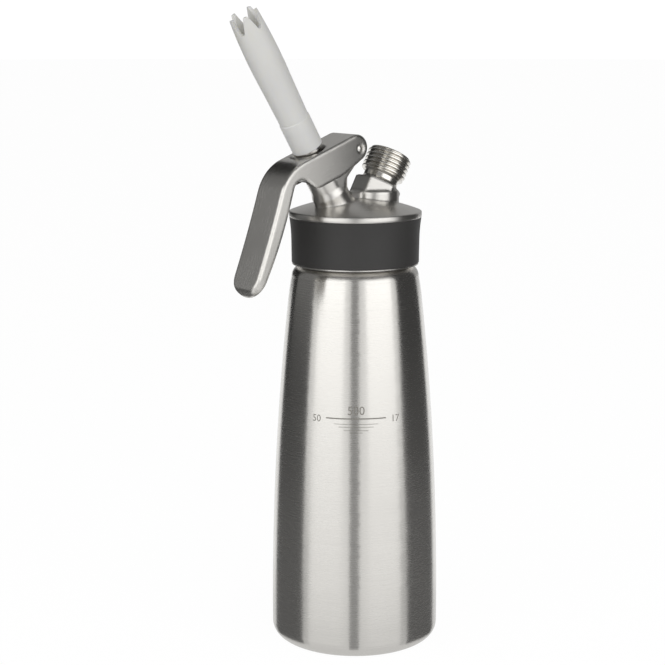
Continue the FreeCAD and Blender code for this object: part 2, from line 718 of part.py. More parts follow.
def valve_cavity():
    """Everything bored out along the stem's line."""
    guide_top = -size["spring_bore_depth"]
    groove_end = guide_top - size["guide_length"] - size["guide_groove"]
    above = size["stem_reach"]
    outline = [
        (0.0, -size["valve_seat"] - BEYOND),
        (size["chamber_radius"], -size["valve_seat"] - BEYOND),
        (size["chamber_radius"], groove_end),
        (size["guide_radius"], groove_end),
        (size["guide_radius"], guide_top),
        (size["spring_bore"], guide_top),
        (size["spring_bore"], above),
        (0.0, above),
    ]
    return turned("valve_cavity", outline, STEM)


def hexagon(width, turn):
    """Corners of a hexagon, from its width across flats and its turn in degrees."""
    width = as_size(width)
    corner = width / (cosine(as_size(30.0)) * 2.0)
    corners = []
    for number in range(6):
        angle = as_size(turn) + 60.0 * number
        corners.append((corner * cosine(angle), corner * sine(angle)))
    return corners


def head_hexagon():
    """Hexagon under the adaptor, with its upper corners turned off."""
    prism = new_body("hexagon_prism")
    pad(prism, "XY_Plane", hexagon(size["hex_flats"], size["hex_turn"]), size["hex_length"],
        "hexagon_pad", symmetric=False)
    top = -hex_top()
    ADAPTOR.place(prism, top - size["hex_length"])
    corner = size["hex_flats"]
    outline = [
        (0.0, top - size["hex_length"]),
        (corner, top - size["hex_length"]),
        (corner, top - (corner - size["hex_chamfer"]) * size["hex_slope"]),
        (size["hex_chamfer"], top),
        (0.0, top),
    ]
    return common("head_hexagon", prism, turned("hexagon_turned", outline, ADAPTOR))


def hex_top():
    """Distance of the hexagon's top below the adaptor's mouth."""
    return size["nipple_length"] + size["relief_length"]


def lug_back():
    """Upper end of the lug's upright back, seen from the side."""
    return pin_x - size["lug_back_set"], pin_z - size["lug_back_drop"]


def boss_top():
    """Height of the flat top of the upright boss."""
    return gasket_plane + size["boss_rise"]


def head_lug():
    """Lug that rises beside the neck and carries the lever's pin in its eye."""
    eye = size["eye_radius"]
    diagonal = eye * cosine(as_size(45.0))
    rim_x, rim_z = STEM.along(-size["lug_corner"])
    wall_x, wall_z = STEM.along(-size["lug_corner"] - 3.0)
    inside = size["lug_inside"]
    outside = size["lug_outside"]
    back_x, back_z = lug_back()
    low_z = boss_top() - 2.0
    body = new_body("pivot_lug")
    outline = [
        (pin_x + diagonal, pin_z - diagonal),
        (pin_x - diagonal, pin_z + diagonal),
        (rim_x + STEM.uz * outside, rim_z - STEM.ux * outside),
        (rim_x + STEM.uz * outside - 0.3, rim_z - STEM.ux * outside - 2.0),
        (wall_x + STEM.uz * inside, wall_z - STEM.ux * inside),
        (back_x - 8.0, low_z),
        (back_x, low_z),
        (back_x, back_z),
    ]
    pad(body, "XZ_Plane", outline, size["lug_width"], "lug_pad")
    half = size["lug_width"].value / 2

    def on_side(edge):
        return near(across(edge, 1)[1] - across(edge, 1)[0], 0) and near(abs(across(edge, 1)[0]), half)

    def back_corner(edge):
        low, high = across(edge, 0)
        return on_side(edge) and near(low, back_x.value) and near(high, back_x.value)

    def upper_corner(edge):
        above = across(edge, 2)[0] > back_z.value - 0.1
        return on_side(edge) and above and not near(across(edge, 0)[0], back_x.value)

    round_edges(body, back_corner, size["lug_back"], "lug_back_edges")
    round_edges(body, upper_corner, size["lug_edge"], "lug_edges")
    return body


def head_rib():
    """Rib in the plane of symmetry that runs from the lug's back down to the boss."""
    low_x, low_z = STEM.along(-size["neck_foot"] + 2.0)
    back_x, back_z = lug_back()
    top_z = boss_top() - SUNK
    body = new_body("pivot_rib")
    outline = [
        (back_x, back_z - 2.0),
        (back_x - 2.0, back_z - 2.0),
        (low_x, low_z),
        (size["boss_set"], low_z),
        (size["boss_set"], top_z),
        (pin_x - size["web_heel"], top_z),
        (back_x, top_z + size["web_foot_rise"], -size["web_radius"]),
    ]
    pad(body, "XZ_Plane", outline, size["lug_width"] - size["lug_back"] * 2.0, "rib_pad")
    return body


def gas_ports():
    """Chamber under the adaptor's shank and the ports that leave it."""
    shank_end = hex_top() + size["shank_length"]
    chamber_end = size["gas_chamber_end"]
    port_run = size["gas_boss_end"] - chamber_end + 2.0
    tools = [
        cylinder("shank_bore", size["shank_radius"], size["shank_length"] + 1.0, ADAPTOR, -shank_end),
        cylinder("gas_chamber", size["gas_chamber"], chamber_end - shank_end + 1.0, ADAPTOR, -chamber_end),
        cylinder("check_hole", size["check_stem"], port_run, ADAPTOR, -chamber_end - port_run + 1.0),
    ]
    port = new_body("gas_port_tool")
    sketch = sketch_on(port, "XY_Plane", "gas_port_sketch")
    circle(sketch, 0.0, size["gas_port_set"], size["gas_port"])
    drill = port.newObject("PartDesign::Pad", "gas_port_pad")
    drill.Profile = sketch
    bind(drill, "Length", port_run)
    doc.recompute()
    around_line(port, drill, size["gas_ports"], "gas_port_pattern")
    ADAPTOR.place(port, -chamber_end - port_run + 1.0)
    tools.append(port)
    return tools


def around_line(body, feature, count, name):
    """Repeats a feature evenly about its body's Z axis."""
    pattern = body.newObject("PartDesign::PolarPattern", name)
    pattern.Originals = [feature]
    pattern.Axis = ([f for f in body.Origin.OriginFeatures if f.Role == "Z_Axis"][0], [""])
    pattern.Angle = 360.0
    bind(pattern, "Occurrences", count)
    body.Tip = pattern
    return pattern


def head_boss():
    """Upright round boss under the hexagon, faced off below the hexagon's top."""
    foot = gasket_plane + size["ceiling_rise"] + SUNK
    radius = size["boss_radius"]
    edge = size["boss_edge"]
    top = boss_top() - foot
    outline = [
        (0.0, 0.0),
        (radius, 0.0),
        (radius, top - edge),
        (radius - edge, top, edge),
        (0.0, top),
    ]
    body = turned("upright_boss", outline)
    bind(body, "Placement.Base.x", size["boss_set"])
    bind(body, "Placement.Base.z", foot)
    facing = cylinder("boss_facing", size["boss_face"], size["boss_radius"], ADAPTOR,
                      -hex_top() - size["boss_drop"])
    return cut("boss_faced", body, facing)


def make_head():
    """Head casting: lid, neck, lug, boss and hexagon, bored for valve, adaptor and pin."""
    gas_boss = cylinder("gas_boss", size["gas_boss_radius"], size["gas_boss_length"], ADAPTOR,
                        -size["gas_boss_end"])
    eye = cross_cylinder("lug_eye", size["eye_radius"], size["lug_width"], pin_x, pin_z)
    solid = fuse("head_solid", head_shell(), head_neck(), head_lug(), head_rib(), head_boss(),
                 head_hexagon(), gas_boss, eye)
    pin_bore = cross_cylinder("pin_bore", size["bush_radius"], size["lug_width"] + BEYOND, pin_x, pin_z)
    bored = cut("head_bored", solid, valve_cavity(), pin_bore, *gas_ports())
    pitch = size["thread_pitch"]
    bore = skirt_bore()
    crest = bore - size["thread_depth"]
    thread = helix_sweep(
        "head_thread", bore, pitch, pitch * size["thread_turns"],
        ridge(bore, crest, size["thread_root"], size["thread_crest"]),
        UPRIGHT, mouth_foot + size["thread_start"] + pitch * 0.5)
    keep(fuse("head_fused", bored, thread), "head")


def make_grip_ring():
    """Soft grip ring around the head's skirt."""
    foot = lip_top()
    top = gasket_plane + size["rim_under"]
    edge = size["ring_edge"]
    outline = [
        (skirt_radius(), foot),
        (size["ring_foot"] - edge, foot),
        (size["ring_foot"], foot + edge),
        (size["ring_waist"], (foot + top) * 0.5),
        (size["ring_top"], top, -size["ring_flare"]),
        (skirt_radius(), top),
    ]
    keep(turned("grip_ring_body", outline), "grip_ring")


# ---------------------------------------------------------------- valve

def make_valve_guide():
    """Bush that guides the stem and carries the spring."""
    top = -size["spring_bore_depth"]
    bore = size["stem_radius"] + size["running_fit"]
    outer = size["guide_radius"]
    low = top - size["guide_length"]
    outline = [(bore, low), (outer, low), (outer, top), (bore, top)]
    keep(turned("guide_body", outline, STEM), "valve_guide")


def make_guide_o_ring():
    """O-ring that seals the stem under its guide."""
    bore = size["stem_radius"] + size["running_fit"]
    mean = (bore + size["guide_radius"]) * 0.5
    section = (size["guide_radius"] - bore) * 0.5
    depth = size["spring_bore_depth"] + size["guide_length"] + size["guide_groove"] * 0.5
    ring = doc.addObject("Part::Torus", "o_ring_torus")
    bind(ring, "Radius1", mean)
    bind(ring, "Radius2", section)
    keep(STEM.place(ring, -depth), "guide_o_ring")


def stem_end():
    """Distance of the stem's lower end below the tip seat."""
    return size["valve_seat"] + size["valve_gap"] + size["valve_seal_height"] + size["valve_nut_height"]


def make_valve_stem():
    """Hollow stem with a spigot for the tip, a flange, and side ports at its lower end."""
    radius = size["stem_radius"]
    bore = size["stem_bore"]
    flange_top = -size["tip_washer_height"]
    flange_low = flange_top - size["stem_flange_height"]
    blind = -size["stem_port_depth"] - size["stem_port"] - size["stem_blind"]
    spigot = size["spigot_radius"]
    outline = [
        (0.0, -stem_end()),
        (size["stem_lower"], -stem_end()),
        (size["stem_lower"], -size["stem_step"] - size["stem_chamfer"]),
        (radius, -size["stem_step"]),
        (radius, flange_low),
        (size["stem_flange"], flange_low),
        (size["stem_flange"], flange_top),
        (spigot, flange_top),
        (spigot, size["spigot_length"] - size["spigot_chamfer"]),
        (spigot - size["spigot_chamfer"], size["spigot_length"]),
        (bore, size["spigot_length"]),
        (bore, blind),
        (0.0, blind),
    ]
    stem = turned("stem_turned", outline, STEM)
    x, z = STEM.along(-size["stem_port_depth"])
    port = cross_cylinder("stem_port_bore", size["stem_port"], size["stem_radius"] * 3.0, x, z)
    keep(cut("stem_drilled", stem, port), "valve_stem")


def make_thrust_collar():
    """Collar on the stem, on which the lever presses."""
    top = -size["collar_top"]
    low = top - size["collar_height"]
    inner = size["stem_radius"]
    outer = size["collar_radius"]
    outline = [(inner, low), (outer, low), (outer, top), (inner, top)]
    keep(turned("collar_body", outline, STEM), "thrust_collar")


def make_return_spring():
    """Coil spring between the thrust collar and the valve guide."""
    wire = size["spring_wire"]
    room = size["spring_room"]
    low = -size["spring_bore_depth"] + wire + room
    high = -size["collar_top"] - size["collar_height"] - wire - room
    coil = helix_sweep("spring_coil", size["spring_mean"], (high - low) / size["spring_turns"],
                       high - low, (size["spring_mean"], 0.0, wire), STEM, low)
    keep(coil, "return_spring")


def make_valve_seal():
    """Silicone disc that closes the valve from below."""
    top = -size["valve_seat"] - size["valve_gap"]
    low = top - size["valve_seal_height"]
    inner = size["stem_lower"]
    outer = size["valve_seal_radius"]
    edge = size["valve_seal_edge"]
    outline = [(inner, low), (outer - edge, low), (outer, low + edge), (outer, top), (inner, top)]
    keep(turned("valve_seal_body", outline, STEM), "valve_seal")


def make_valve_nut():
    """Hexagon nut that holds the seal on the stem."""
    body = new_body("valve_nut_body")
    pad(body, "XY_Plane", hexagon(size["valve_nut_flats"], 0.0), size["valve_nut_height"],
        "valve_nut_pad", symmetric=False)
    bore = circle(sketch_on(body, "XY_Plane", "valve_nut_bore_sketch"), 0.0, 0.0, size["stem_lower"])
    pocket(body, bore, "valve_nut_bore")
    keep(STEM.place(body, -stem_end()), "valve_nut")


# ---------------------------------------------------------------- decorator tip

def make_tip_washer():
    """Thin rubber washer between the stem's flange and the tip."""
    low = -size["tip_washer_height"]
    top = -size["running_fit"]
    inner = size["spigot_radius"] + size["tip_washer_play"]
    outer = size["tip_washer_radius"]
    outline = [(inner, low), (outer, low), (outer, top), (inner, top)]
    keep(turned("tip_washer_body", outline, STEM), "tip_washer")


def make_tip_insert():
    """Threaded metal sleeve in the foot of the tip."""
    inner = size["spigot_radius"] + size["running_fit"]
    outer = size["insert_radius"]
    top = size["insert_length"]
    outline = [(inner, 0.0), (outer, 0.0), (outer, top), (inner, top)]
    keep(turned("tip_insert_body", outline, STEM), "tip_insert")


def make_tip():
    """Plastic decorator tip with a ring of teeth at its end."""
    length = size["tip_length"]
    collar_top = size["tip_collar_height"]
    wall = size["tip_wall"]
    throat = size["insert_radius"] - size["insert_shoulder"]
    outline = [
        (size["insert_radius"], 0.0),
        (size["tip_collar"] - size["tip_foot_edge"], 0.0),
        (size["tip_collar"], size["tip_foot_edge"]),
        (size["tip_collar"], collar_top),
        (size["tip_waist"], collar_top + size["tip_collar_step"]),
        (size["tip_belly"], size["tip_belly_height"]),
        (size["tip_end"], length, size["tip_curve"]),
        (size["tip_end"] - size["tip_mouth_wall"], length),
        (size["tip_belly"] - wall, size["tip_belly_height"]),
        (throat, size["insert_length"] + size["insert_throat"]),
        (throat, size["insert_length"]),
        (size["insert_radius"], size["insert_length"]),
    ]
    body = new_body("tip_body")
    revolve(body, outline, "tip_turned")
    sketch = sketch_on(body, "XZ_Plane", "slot_sketch")
    sketch.AttachmentOffset = FreeCAD.Placement(
        FreeCAD.Vector(), FreeCAD.Rotation(FreeCAD.Vector(0, 1, 0), size["slot_turn"].value))
    bind(sketch, "AttachmentOffset.Rotation.Angle", size["slot_turn"])
    foot = length - size["slot_depth"]
    half_foot = size["slot_foot"] * 0.5
    half_mouth = size["slot_mouth"] * 0.5
    draw(sketch, [
        (half_mouth, length),
        (half_mouth, length + BEYOND),
        (-half_mouth, length + BEYOND),
        (-half_mouth, length),
        (-half_foot, foot + half_foot),
        (half_foot, foot + half_foot, half_foot * 1.02),
    ])
    slot = pocket(body, sketch, "slot", length=size["tip_belly"] * 2.0, kind="One side", backward=True)
    around_line(body, slot, size["tip_teeth"], "teeth")
    keep(STEM.place(body), "decorator_tip")


# ---------------------------------------------------------------- lever

class Path:
    """An outline walked from a point: straight runs and arcs that follow on smoothly."""

    def __init__(self, x, z, heading):
        self.x = as_size(x)
        self.z = as_size(z)
        self.heading = as_size(heading)
        self.corners = [(self.x, self.z)]

    def line(self, length):
        """Goes straight on."""
        self.x = self.x + cosine(self.heading) * length
        self.z = self.z + sine(self.heading) * length
        self.corners.append((self.x, self.z))
        return self

    def arc(self, radius, sweep):
        """Turns through an arc, to the left if the sweep (in degrees) is positive."""
        side = 1.0 if as_size(sweep).value > 0 else -1.0
        turned_to = self.heading + sweep
        signed = as_size(radius) * side
        self.x = self.x + signed * (sine(turned_to) - sine(self.heading))
        self.z = self.z + signed * (cosine(self.heading) - cosine(turned_to))
        self.heading = turned_to
        self.corners.append((self.x, self.z, signed))
        return self

    def line_to_meet(self, x, z, heading):
        """Goes straight on to the line through a point with its own heading."""
        cross = sine(heading - self.heading)
        reach = ((x - self.x) * sine(heading) - (z - self.z) * cosine(heading)) / cross
        return self.line(reach)


def lever_line(along, above):
    """Point of the lever beside its pin: along its top's slope, and square above it."""
    c, s = cosine(size["lever_slope"]), sine(size["lever_slope"])
    return pin_x + c * along - s * above, pin_z + s * along + c * above


def lever_face(flare):
    """Path down the lever's top, around its bend and down its grip through a turn of flare degrees."""
    top_x, top_z = lever_line(-size["ear_set"], size["lever_top"])
    face = Path(top_x, top_z, size["lever_slope"] + 180.0)
    face.line(size["lever_run"])
    face.arc(size["lever_bend"], size["bend_turn"])
    return face.arc(size["grip_flare"], -flare)


def grip_corner():
    """Lowest corner of the grip's back, and the heading of the grip there."""
    end = lever_face(size["end_turn"])
    return end.x + size["grip_thickness"], end.z, end.heading


def lever_outline():
    """Side view of the lever: top, bend and grip, then the grip's back and the lower edge."""
    ear = size["ear_radius"]
    ear_x, ear_z = lever_line(-size["ear_set"], size["lever_top"] - ear)
    outer = lever_face(size["face_turn"])
    top_x, top_z = outer.corners[0]
    outer.arc(size["grip_nose"], size["nose_turn"])
    corner_x, corner_z, _ = grip_corner()
    inner = Path(corner_x, corner_z, size["back_rise"])
    inner.arc(size["grip_back"], size["back_turn"])
    inner.line(size["back_run"])
    inner.arc(size["arch_radius"], -size["arch_turn"])
    inner.line(size["arch_run"])
    inner.arc(size["lobe_radius"], size["lobe_turn"])
    rise = size["wall_rise"]
    ear_start = (ear_x + sine(rise) * ear, ear_z - cosine(rise) * ear)
    inner.line_to_meet(ear_start[0], ear_start[1], rise)
    return outer.corners[1:] + inner.corners + [ear_start, (top_x, top_z, ear)]


def grip_end_sketch(body):
    """Sketch across the grip, of the two corners to be cut off its end."""
    x, z, heading = grip_corner()
    turn = 360.0 - heading
    sketch = sketch_on(body, "XY_Plane", "grip_end_sketch")
    sketch.AttachmentOffset = FreeCAD.Placement(
        FreeCAD.Vector(), FreeCAD.Rotation(FreeCAD.Vector(0, 1, 0), turn.value))
    bind(sketch, "AttachmentOffset.Base.x", x)
    bind(sketch, "AttachmentOffset.Base.z", z)
    bind(sketch, "AttachmentOffset.Rotation.Angle", turn)
    half = size["lever_width"] * 0.5
    round_off = size["grip_end_round"]
    for side in (1.0, -1.0):
        draw(sketch, [
            (-round_off, half * side, round_off * side),
            (-round_off, (half + BEYOND) * side),
            (BEYOND, (half + BEYOND) * side),
            (BEYOND, (half - round_off) * side),
            (0.0, (half - round_off) * side),
        ])
    return sketch


def lever_bar():
    """The lever's solid shape, with its rounded edges."""
    body = new_body("lever_bar")
    width = size["lever_width"]
    pad(body, "XZ_Plane", lever_outline(), width, "lever_pad")
    half = width.value / 2
    pocket(body, grip_end_sketch(body), "grip_end")

    def top_edge(edge):
        low, high = across(edge, 1)
        return near(low, high) and near(abs(low), half) and \
            edge.BoundBox.Center.z > pin_z.value and edge.Length > size["lever_run"].value - 1.0

    round_edges(body, top_edge, size["lever_edge"], "outer_edges")
    return body


def channel_outline():
    """Side view of the channel between the lever's side walls."""
    under = size["lever_top"] - size["lever_plate"]
    past = size["ear_radius"] * 2.0
    below = pin_z - size["channel_depth"]
    return [
        lever_line(past, under),
        lever_line(-size["channel_reach"], under),
        (pin_x - size["channel_foot"], below),
        (pin_x + past, below),
    ]


def make_lever():
    """Squeeze lever: a channel around the neck and a grip that hangs beside the bottle."""
    body = lever_bar()
    inner = size["lever_width"] - size["lever_wall"] * 2.0
    channel = draw(sketch_on(body, "XZ_Plane", "channel_outline"), channel_outline())
    pocket(body, channel, "channel", length=inner)
    holes = circle(sketch_on(body, "XZ_Plane", "pin_hole_sketch"), pin_x, pin_z, size["pin_radius"])
    pocket(body, holes, "pin_holes", length=size["lever_width"] + BEYOND)
    half = size["lever_width"].value / 2

    def hole_rim(edge):
        middle = edge.BoundBox.Center
        return near(abs(middle.y), half) and near(middle.x, pin_x.value) and near(middle.z, pin_z.value)

    round_edges(body, hole_rim, size["pin_hole_edge"], "pin_hole_rims")

    lug_x, lug_z = STEM.along(size["thrust_radius"] + size["thrust_gap"] - size["collar_top"])
    reach = size["thrust_reach"]
    lugs = []
    for side, start in (("near", reach - inner * 0.5), ("far", inner * 0.5 + SUNK)):
        lugs.append(cross_cylinder("thrust_lug_" + side, size["thrust_radius"], reach + SUNK,
                                   lug_x, lug_z, start))
    solid = fuse("lever_solid", body, *lugs)

    floor = -size["recess_floor"]
    above = size["tip_collar_height"]
    recess = cylinder("tip_recess", size["recess_radius"], above, STEM, floor)
    spot = cylinder("tip_spot_face", size["spot_radius"], above, STEM, -size["spot_floor"])
    run = size["stem_slot_run"]
    slot_radius = size["stem_slot_radius"]
    slot_low = floor - size["stem_slot_depth"]
    slot_height = size["stem_slot_depth"] + BEYOND
    near_end = cylinder("stem_slot_end", slot_radius, slot_height, STEM, slot_low)
    far_end = cylinder("stem_slot_far_end", slot_radius, slot_height, STEM, slot_low, run)
    middle = doc.addObject("Part::Box", "stem_slot_middle")
    bind(middle, "Length", run)
    bind(middle, "Width", slot_radius * 2.0)
    bind(middle, "Height", slot_height)
    STEM.place(middle, slot_low)
    bind(middle, "Placement.Base.y", -slot_radius)
    keep(cut("lever_cut", solid, recess, spot, near_end, far_end, middle), "lever")


def make_lever_pin():
    """Pin with domed ends through the lever's ears and the lug's eye."""
    half = size["lever_width"] * 0.5 - size["pin_recess"]
    radius = size["pin_radius"]
    rise = size["pin_dome"]
    edge = half - rise
    dome = (radius * radius + rise * rise) / (rise * 2.0)
    body = turned("lever_pin_turned", [
        (0.0, -half),
        (radius, -edge, dome),
        (radius, edge),
        (0.0, half, dome),
    ])
    body.Placement = FreeCAD.Placement(FreeCAD.Vector(), FreeCAD.Rotation(FreeCAD.Vector(1, 0, 0), 90))
    bind(body, "Placement.Base.x", pin_x)
    bind(body, "Placement.Base.z", pin_z)
    bind(body, "Placement.Rotation.Angle", 90.0)
    keep(body, "lever_pin")


def make_pivot_bush():
    """Plain bush pressed into the lug's eye, in which the pin turns."""
    tube = cross_cylinder("pivot_bush_rod", size["bush_radius"], size["lug_width"], pin_x, pin_z)
    bore = cross_cylinder("pivot_bush_bore", size["pin_radius"] + size["running_fit"],
                          size["lug_width"] + BEYOND, pin_x, pin_z)
    keep(cut("pivot_bush_cut", tube, bore), "pivot_bush")


# ---------------------------------------------------------------- charger adaptor

def make_adaptor():
    """Threaded nipple that takes the gas charger's neck, with a shank screwed into the head."""
    thread = size["nipple_radius"]
    root = size["nipple_root"]
    lead = size["nipple_lead"]
    length = size["nipple_length"]
    relief = size["relief_radius"]
    top_of_hex = hex_top()
    shank_end = top_of_hex + size["shank_length"]
    bore = size["charger_bore"]
    pocket_radius = size["charger_seal_radius"]
    seal_end = size["charger_bore_length"] + size["charger_room"] + size["charger_seal_height"]
    outline = [
        (size["carrier_radius"], -shank_end),
        (size["shank_radius"], -shank_end),
        (size["shank_radius"], -top_of_hex),
        (relief + size["relief_flare"], -top_of_hex),
        (relief, -top_of_hex + size["relief_flare"] * 2.0),
        (relief, -length - (root - relief)),
        (root, -length),
        (root, -size["nipple_edge"]),
        (root - size["nipple_edge"], 0.0),
        (bore + size["charger_chamfer"], 0.0),
        (bore, -size["charger_chamfer"]),
        (bore, -size["charger_bore_length"]),
        (pocket_radius, -size["charger_bore_length"]),
        (pocket_radius, -seal_end),
        (size["carrier_radius"], -seal_end),
    ]
    core = turned("nipple_core", outline, ADAPTOR)
    pitch = size["nipple_pitch"]
    ridge_section = ridge(root, thread + 0.25, pitch * size["nipple_flank"], pitch * size["nipple_crest"])
    runs = length + pitch * 2.0
    raw = helix_sweep("nipple_thread_raw", root, pitch, runs, ridge_section, ADAPTOR, -length - pitch)
    envelope = turned("nipple_envelope", [
        (root - 1.0, -length),
        (thread - 0.5, -length),
        (thread, -length + 0.5),
        (thread, -lead),
        (thread - lead * 0.9, 0.0),
        (root - 1.0, 0.0),
    ], ADAPTOR)
    keep(fuse("adaptor_fused", core, common("nipple_thread", raw, envelope)), "charger_adaptor")


def make_charger_seal():
    """Rubber disc that seals the charger's neck."""
    top = -size["charger_bore_length"] - size["charger_room"]
    low = top - size["charger_seal_height"]
    inner = size["charger_seal_inner"]
    outer = size["charger_seal_radius"]
    outline = [(inner, low), (outer, low), (outer, top), (inner, top)]
    keep(turned("charger_seal_body", outline, ADAPTOR), "charger_seal")


def make_piercing_pin():
    """Hollow pin that opens the charger, on a threaded foot."""
    foot_top = -(size["charger_bore_length"] + size["charger_room"] + size["charger_seal_height"])
    foot_low = foot_top - size["carrier_length"]
    needle = size["needle_radius"]
    bore = size["needle_bore"]
    tip = -size["needle_tip"]
    outline = [
        (bore, foot_low),
        (size["carrier_radius"], foot_low),
        (size["carrier_radius"], foot_top),
        (needle, foot_top),
        (needle, tip - size["needle_point"]),
        (bore, tip),
    ]
    keep(turned("piercing_pin_body", outline, ADAPTOR), "piercing_pin")


def make_non_return_valve():
    """Silicone valve that lets gas into the bottle and not back."""
    face = -size["gas_boss_end"]
    inside = -size["gas_chamber_end"]
    stem = size["check_stem"]
    outline = [
        (0.0, face - size["check_height"]),
        (size["check_radius"] * 0.5, face - size["check_height"]),
        (size["check_radius"], face - size["check_lip"]),
        (size["check_radius"], face),
        (stem, face),
        (stem, inside),
        (size["check_bulb"], inside),
        (size["check_bulb_end"], inside + size["check_bulb_height"]),
        (0.0, inside + size["check_bulb_height"]),
    ]
    keep(turned("check_body", outline, ADAPTOR), "non_return_valve")


# ---------------------------------------------------------------- checks and files

def check_document():
    """Stops if an object failed or a finished sub-part isn't whole."""
    for thing in doc.Objects:
        if "Invalid" in thing.State or "Error" in thing.State:
            raise RuntimeError("%s failed: %s" % (thing.Name, thing.State))
    for thing in finished:
        shape = thing.Shape
        if shape.isNull() or not shape.isValid() or not shape.Solids:
            raise RuntimeError("%s is not a valid solid" % thing.Label)


def write_parts():
    """Writes one STEP file per finished sub-part."""
    os.makedirs("parts", exist_ok=True)
    for thing in finished:
        thing.Shape.exportStep("parts/%s.step" % thing.Label)


def main():
    """Builds every sub-part, checks the document and writes the files."""
    make_bottle()
    make_gasket()
    make_head()
    make_grip_ring()
    make_valve_guide()
    make_guide_o_ring()
    make_valve_stem()
    make_thrust_collar()
    make_return_spring()
    make_valve_seal()
    make_valve_nut()
    make_tip_washer()
    make_tip_insert()
    make_tip()
    make_lever()
    make_lever_pin()
    make_pivot_bush()
    make_adaptor()
    make_charger_seal()
    make_piercing_pin()
    make_non_return_valve()
    doc.recompute()
    check_document()
    write_parts()


main()
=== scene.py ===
"""Looks of a whipped cream dispenser: brushed steel bottle, satin head and lever, plastic tip."""
import json
import math

import bmesh
import bpy
from mathutils import Matrix, Vector
from mathutils.bvhtree import BVHTree


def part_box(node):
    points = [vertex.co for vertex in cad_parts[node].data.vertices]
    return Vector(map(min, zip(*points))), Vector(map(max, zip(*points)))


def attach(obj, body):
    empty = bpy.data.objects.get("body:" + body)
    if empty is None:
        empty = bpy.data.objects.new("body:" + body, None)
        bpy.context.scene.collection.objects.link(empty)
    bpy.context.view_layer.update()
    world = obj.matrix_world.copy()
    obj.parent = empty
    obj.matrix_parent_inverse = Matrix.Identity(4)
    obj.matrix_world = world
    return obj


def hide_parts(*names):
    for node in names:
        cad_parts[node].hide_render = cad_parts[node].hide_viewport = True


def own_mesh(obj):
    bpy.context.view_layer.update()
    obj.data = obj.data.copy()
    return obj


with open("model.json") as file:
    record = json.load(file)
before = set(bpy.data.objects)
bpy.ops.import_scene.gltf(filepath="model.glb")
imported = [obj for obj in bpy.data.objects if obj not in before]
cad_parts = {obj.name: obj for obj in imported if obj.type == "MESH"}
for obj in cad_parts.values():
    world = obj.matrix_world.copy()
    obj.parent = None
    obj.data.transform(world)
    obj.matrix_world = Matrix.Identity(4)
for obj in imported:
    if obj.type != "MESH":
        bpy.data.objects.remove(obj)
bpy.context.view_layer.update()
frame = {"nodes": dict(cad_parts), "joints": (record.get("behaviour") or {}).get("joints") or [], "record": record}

MM = 0.001
NODES = frame["nodes"]
RECORD = frame["record"]


# ------------------------------------------------------------------ places, from the frame

def mount_named(name):
    """A mount of the record."""
    return [m for m in RECORD["mounts"] if m["name"] == name][0]


def joint_named(name):
    """A joint of the frame."""
    return [j for j in frame["joints"] if j["name"] == name][0]


UP = Vector((0.0, 0.0, 1.0))
BOTTLE_FOOT = (0.0, 0.0, 0.0)
STEM_AXIS = Vector(joint_named("tip_turn")["axis"]).normalized()
TIP_SEAT = Vector(joint_named("tip_turn")["pos_m"])
ADAPTOR_AXIS = Vector(mount_named("adaptor_thread")["axis"]).normalized()
ADAPTOR_TOP = Vector(mount_named("adaptor_thread")["pos_m"])

BODY_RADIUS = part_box("bottle")[1][0]


# ------------------------------------------------------------------ materials

SOCKETS = {
    "base": "Base Color",
    "metal": "Metallic",
    "rough": "Roughness",
    "aniso": "Anisotropic",
    "specular": "Specular IOR Level",
    "under": "Subsurface Weight",
    "under_scale": "Subsurface Scale",
    "sheen": "Sheen Weight",
    "sheen_rough": "Sheen Roughness",
}


